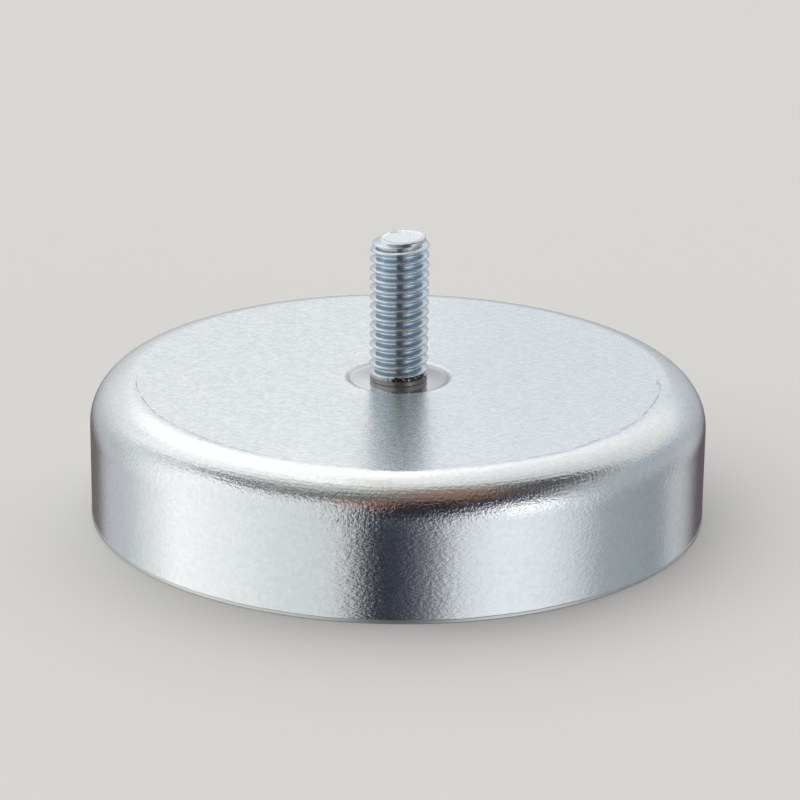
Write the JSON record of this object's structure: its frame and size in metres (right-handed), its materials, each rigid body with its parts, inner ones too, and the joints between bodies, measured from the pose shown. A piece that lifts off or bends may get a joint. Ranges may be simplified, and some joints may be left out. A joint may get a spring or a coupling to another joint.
{
  "type": "flat pot magnet with threaded stud",
  "caption": "Flat pot magnet: a ferrite disc set in resin in a zinc-plated deep-drawn steel pot, which grips at its rim and is fastened by a threaded stud.",
  "frame": {"origin": "centre of the plane of the pot's rim, on which the magnet grips and stands", "axes": "+Z along the stud's axis, from the rim through the pot's closed end to the stud's tip; the part is round about Z, so X and Y are free"},
  "size_m": [0.063, 0.063, 0.029],
  "materials": {
    "zinc_plated_pot": "bright blue-passivated zinc plate over drawn mild steel, fine rolled texture, orange peel on the bend",
    "zinc_plated_stud": "bright blue-passivated zinc plate over a rolled thread",
    "ferrite": "ground sintered hard ferrite, dark charcoal grey, matt",
    "potting_resin": "cast epoxy resin, dark and slightly glossy"
  },
  "bodies": {
    "root": {"steel_pot": "zinc_plated_pot", "threaded_stud": "zinc_plated_stud", "ferrite_magnet": "ferrite", "resin_bond": "potting_resin"}
  },
  "joints": []
}
